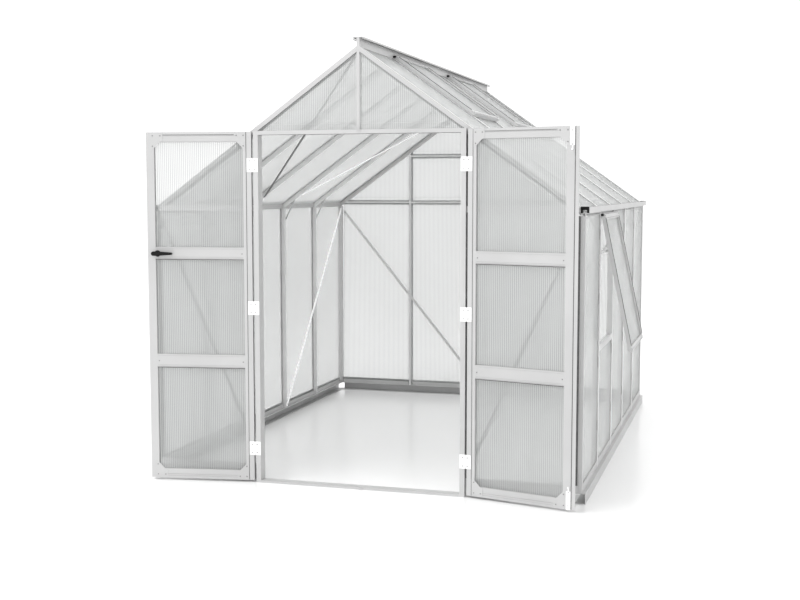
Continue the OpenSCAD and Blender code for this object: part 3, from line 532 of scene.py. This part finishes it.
def leaf_details(side, hinge_edge):
    """Dark and grey lines of painted shade at the seams and grooves of one door leaf, and its screws."""
    body = side + "_door"
    shade_seams = Piece(body + "_shade_seams", body, ["painted_shade_dark", "painted_shade_grey"], "black_plastic")
    screws = Piece(body + "_screws", body, ["zinc_steel"], "zinc_steel")
    rails = sorted(solids(body + "_rails"), key=lambda solid: solid.centre[2])
    # dark and grey lines at the seams and grooves: painted shade
    shade_seams.line(rails[0], "foot", offset=0.012, width=0.0022, trim=0.03, mark=GREY_SHADE)
    shade_seams.line(rails[-1], "head", offset=0.014, width=0.0026, trim=0.05, mark=DARK_SHADE)
    for rail in rails[1:-1]:
        shade_seams.line(rail, "head", offset=0.008, width=0.0016, trim=0.004, mark=GREY_SHADE)
        shade_seams.line(rail, "foot", offset=0.0005, width=0.0042, mark=DARK_SHADE)
        shade_seams.line(rail, "foot", offset=0.016, width=0.0016, trim=0.004, mark=GREY_SHADE)
        for across in (0.02, 0.98):
            screws.screw(rail, across, 0.5, RAIL_SCREW)
    hinge_stile = min(solids(body + "_stiles"), key=lambda solid: abs(solid.centre[0]))
    shade_seams.line(hinge_stile, hinge_edge, offset=0.028, width=0.0024, trim=0.002, mark=DARK_SHADE)
    leaf_middle = np.mean([rail.centre for rail in rails], axis=0)
    for plate in solids(body + "_corner_plates"):
        out = plate.centre - leaf_middle
        x, y = (0.8 if out @ plate.side > 0 else 0.2), (0.8 if out[2] > 0 else 0.2)
        for across, up in ((x, y), (1 - x, y), (x, 1 - y)):
            screws.screw(plate, across, up, PLATE_SCREW)
    hinge_screws(screws, body + "_hinge_plates")
    if side == "right":
        for strip in solids("meeting_strip"):
            shade_seams.line(strip, "left", offset=0.0, width=0.0042, trim=0.002, mark=DARK_SHADE)
    shade_seams.finish()
    screws.finish(smooth=True)


def jamb_details():
    """Screws of the jambs' hinge plates."""
    screws = Piece("jamb_hinge_screws", "root", ["zinc_steel"], "zinc_steel")
    hinge_screws(screws, "jamb_hinge_plates")
    screws.finish(smooth=True)


def doorway_shade_lines():
    """Dark rubber strips beside the jambs and the front corner posts, and at the head of the doorway: painted
    shade in the gaps there.
    """
    jamb_width, jamb_thick, jamb_foot = 0.011, 0.003, 0.062
    post_near, post_far, post_thick, post_foot = 0.024, 0.036, 0.0012, 0.1
    head_gap = 0.01
    head_ends, head_back, head_front, head_thick = 0.03, 0.008, 0.004, 0.0022
    (left, front, _), (right, _, top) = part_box("door_jambs")
    sheet_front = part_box("front_gable_panels")[0][1]
    post_low, post_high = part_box("corner_posts")
    shade_lines = Piece("doorway_shade_lines", "root", ["painted_shade_dark"], "black_plastic")
    for sign, jamb, post in ((-1, left, post_low[0]), (1, right, post_high[0])):
        a, b = sorted((jamb, jamb + sign * jamb_width))
        shade_lines.block((a, sheet_front - jamb_thick, jamb_foot), (b, sheet_front, top - head_gap))
        a, b = sorted((post - sign * post_far, post - sign * post_near))
        shade_lines.block((a, post_low[1] - post_thick, post_foot), (b, post_low[1], post_high[2] - head_gap))
    shade_lines.block((left + head_ends, front + head_front, top - head_thick),
                (right - head_ends, front + head_back, top))
    shade_lines.finish()


def strap(piece, solid, mark):
    """A flat strap in a CAD solid's place."""
    back, front = solid.span(solid.face)
    outline = [solid.at(x, y, back) for x, y in outline_of(solid)]
    piece.prism(outline, (front - back) * solid.face, mark)


def strap_ends(solid):
    """The two places on the face of a strap where its bolts go."""
    heights = solid.points @ solid.run
    front = solid.span(solid.face)[1]
    ends = [solid.points[np.argsort(order)[:4]].mean(axis=0) for order in (heights, -heights)]
    along = (ends[1] - ends[0]) / np.linalg.norm(ends[1] - ends[0])
    ends = [ends[0] + BOLT_INWARDS * along, ends[1] - BOLT_INWARDS * along]
    return [end + (front - end @ solid.face) * solid.face for end in ends]


def braces():
    """The wall and roof braces, as straps with bolt heads on the side towards the room, white with a
    painted glow. The back wall's brace and the roof's front ones are darker copies: painted shade."""
    # the back wall's brace and the roof's front ones take a darker copy of the finish: painted shade
    for node, shaded_finish, is_shaded in (
            ("wall_braces", "steel_painted_grey_shade", lambda solid: abs(solid.face[1]) > 0.9),
            ("roof_braces", "steel_painted_dark_shade", lambda solid: solid.centre[1] < HOUSE_MIDDLE[1])):
        straps = Piece(node + "_straps", "root", ["white_straps_painted_glow", shaded_finish], SLOT[node])
        bolts = Piece(node + "_bolts", "root", ["zinc_steel"], "zinc_steel")
        for solid in solids(node):
            strap(straps, solid, SHADED if is_shaded(solid) else GLOWING_WHITE)
            for end in strap_ends(solid.reversed()):
                bolts.head(end, -solid.face, BRACE_BOLT)
        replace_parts(straps.finish(), node)
        bolts.finish(smooth=True)


def knee_straps():
    """The knee brackets: a bent strap from each post to its rafter, with a screw at both ends."""
    straps = Piece("knee_bracket_straps", "root", ["silver_aluminium"], SLOT["knee_brackets"])
    bolts = Piece("knee_bracket_bolts", "root", ["zinc_steel"], "zinc_steel")
    end_up, bend_up = 0.006, 0.030
    foot_in, bend_in, tip_in = 0.012, 0.024, 0.004
    slant = 0.002
    for solid in solids("knee_brackets"):
        low, high = solid.points.min(axis=0), solid.points.max(axis=0)
        sign = 1 if solid.centre[0] > 0 else -1
        wall, room = (high[0], low[0]) if sign > 0 else (low[0], high[0])
        path = [np.array((x, low[1], z)) for x, z in (
            (wall - sign * foot_in, low[2] + end_up), (wall - sign * bend_in, low[2] + bend_up),
            (room + sign * foot_in, high[2] - bend_up), (room + sign * tip_in, high[2] - end_up))]
        across = np.array((sign * KNEE_STRAP / 2, 0, -slant))
        for start, end in zip(path, path[1:]):
            outline = [start + across, end + across, end - across, start - across]
            straps.prism(outline, (0, high[1] - low[1], 0))
        for place in (path[0] * 0.5 + path[1] * 0.5, path[2] * 0.4 + path[3] * 0.6):
            bolts.head(place, np.array((0.0, -1.0, 0.0)), KNEE_BOLT)
    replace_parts(straps.finish(), "knee_brackets")
    bolts.finish(smooth=True)


def roof_details():
    """Dark lines of painted shade in the gaps under the ridge cap and along the gutters."""
    end_gap = 0.002
    lines = Piece("ridge_and_gutter_shade_lines", "root", ["painted_shade_dark"], "black_plastic")
    low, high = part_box("ridge_beam")
    proud, below_head, below_foot = 0.0008, 0.0125, 0.016
    for a, b in ((low[0] - proud, low[0]), (high[0], high[0] + proud)):
        lines.block((a, low[1] + end_gap, high[2] - below_foot), (b, high[1] - end_gap, high[2] - below_head))
    low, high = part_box("eave_beams")
    lip_width, lip_height = 0.0022, 0.0009
    for a, b in ((low[0], low[0] + lip_width), (high[0] - lip_width, high[0])):
        lines.block((a, low[1] + end_gap, high[2]), (b, high[1] - end_gap, high[2] + lip_height))
    lines.finish()


def sash_details(body):
    """The gasket and seams of a sash, dark lines that paint the shade at its edges, and the screws at its
    corners.
    """
    node = body + "_sash"
    shade_gasket = Piece(node + "_shade_gasket", body, ["painted_shade_dark"], "black_plastic")
    screws = Piece(node + "_screws", body, ["zinc_steel"], "zinc_steel")
    for solid in solids(node):
        for edge in ("left", "right"):
            shade_gasket.line(solid, edge, offset=0.0004, width=0.0045, trim=0.03, proud=SHADE_GASKET_PROUD)
        for edge in ("foot", "head"):
            shade_gasket.line(solid, edge, offset=0.006, width=0.0018, trim=0.006)
        shade_gasket.line(solid, "head", offset=0.030, width=0.0016, trim=0.020)
        for across, up in ((0.02, 0.02), (0.98, 0.02), (0.02, 0.98), (0.98, 0.98)):
            screws.screw(solid, across, up, RAIL_SCREW)
    shade_gasket.finish()
    screws.finish(smooth=True)


def bolt_details():
    """Two screws in each bolt's case, clear of the header and the sill when the leaf is closed."""
    screws = Piece("bolt_case_screws", "right_door", ["zinc_steel"], "zinc_steel")
    for case in solids("bolt_cases"):
        is_top = case.centre[2] > HOUSE_MIDDLE[2]
        for up in (0.06, 0.78) if is_top else (0.22, 0.94):
            screws.screw(case, 0.5, up, SMALL_SCREW)
    screws.finish(smooth=True)


# ---- finishes of the CAD nodes ----
# the bars inside the house get a lighter copy of the aluminium: painted light against the shade in there
PAINTED_LIGHT_BARS = {"rafters_left", "rafters_right", "side_posts_left", "side_posts_right", "back_posts",
               "gable_rails", "vent_crossbars", "window_sill_rail"}
DARK_FITTINGS = {"sash_hinge_brackets"}


def finish_of(node):
    """The finish of a CAD node: that of its slot, apart from these."""
    if node in SHEETS:
        return "sheet_skin"
    if node in PAINTED_LIGHT_BARS:
        return "aluminium_painted_lighter"
    return "black_plastic" if node in DARK_FITTINGS else SLOT[node]


def finish_cad_nodes():
    for node, made in frame["nodes"].items():
        made.data.materials.clear()
        made.data.materials.append(MATERIALS[finish_of(node)])


# ---- floor, light and camera ----
def studio():
    """A white floor, even white light, one softbox high on the left, and the camera."""
    floor = bpy.data.meshes.new("studio_floor")
    far = FLOOR_REACH
    floor.from_pydata([(-far, -far, 0), (far, -far, 0), (far, far, 0), (-far, far, 0)], [], [(0, 1, 2, 3)])
    m = Nodes("studio_white").set(Roughness=0.22)
    m.join(m.blend(m.noise(0.5), grey(0.955), grey(0.965)), m.shader.inputs["Base Color"])
    floor.materials.append(m.material)
    made = bpy.data.objects.new("studio_floor", floor)
    bpy.context.scene.collection.objects.link(made)

    world = bpy.data.worlds.new("studio")
    world.use_nodes = True
    world.node_tree.nodes["Background"].inputs["Color"].default_value = (1, 1, 1, 1)
    world.node_tree.nodes["Background"].inputs["Strength"].default_value = WORLD_STRENGTH
    bpy.context.scene.world = world

    light = bpy.data.lights.new("top_softbox", "AREA")
    light.shape, light.size, light.energy = "SQUARE", SOFTBOX_SIZE, SOFTBOX_POWER
    lamp = bpy.data.objects.new("top_softbox", light)
    lamp.location = SOFTBOX_AT
    aim = Vector(SOFTBOX_TARGET) - Vector(SOFTBOX_AT)
    lamp.rotation_euler = aim.to_track_quat("-Z", "Y").to_euler()
    bpy.context.scene.collection.objects.link(lamp)

    camera = bpy.data.objects.new("camera", bpy.data.cameras.new("camera"))
    camera.data.lens = LENS
    camera.data.sensor_width = SENSOR
    camera.data.clip_end = 200.0
    camera.location = CAMERA_AT
    camera.rotation_euler = (math.radians(90 - CAMERA_PITCH), 0, math.radians(CAMERA_YAW))
    bpy.context.scene.collection.objects.link(camera)
    bpy.context.scene.camera = camera
    bpy.context.scene.view_settings.view_transform = "Standard"


finish_cad_nodes()
twin_wall_sheets()
for side, hinge_edge in (("left", "right"), ("right", "left")):
    leaf_details(side, hinge_edge)
jamb_details()
doorway_shade_lines()
braces()
knee_straps()
roof_details()
for body in ("window", "front_vent", "rear_vent"):
    sash_details(body)
bolt_details()
studio()
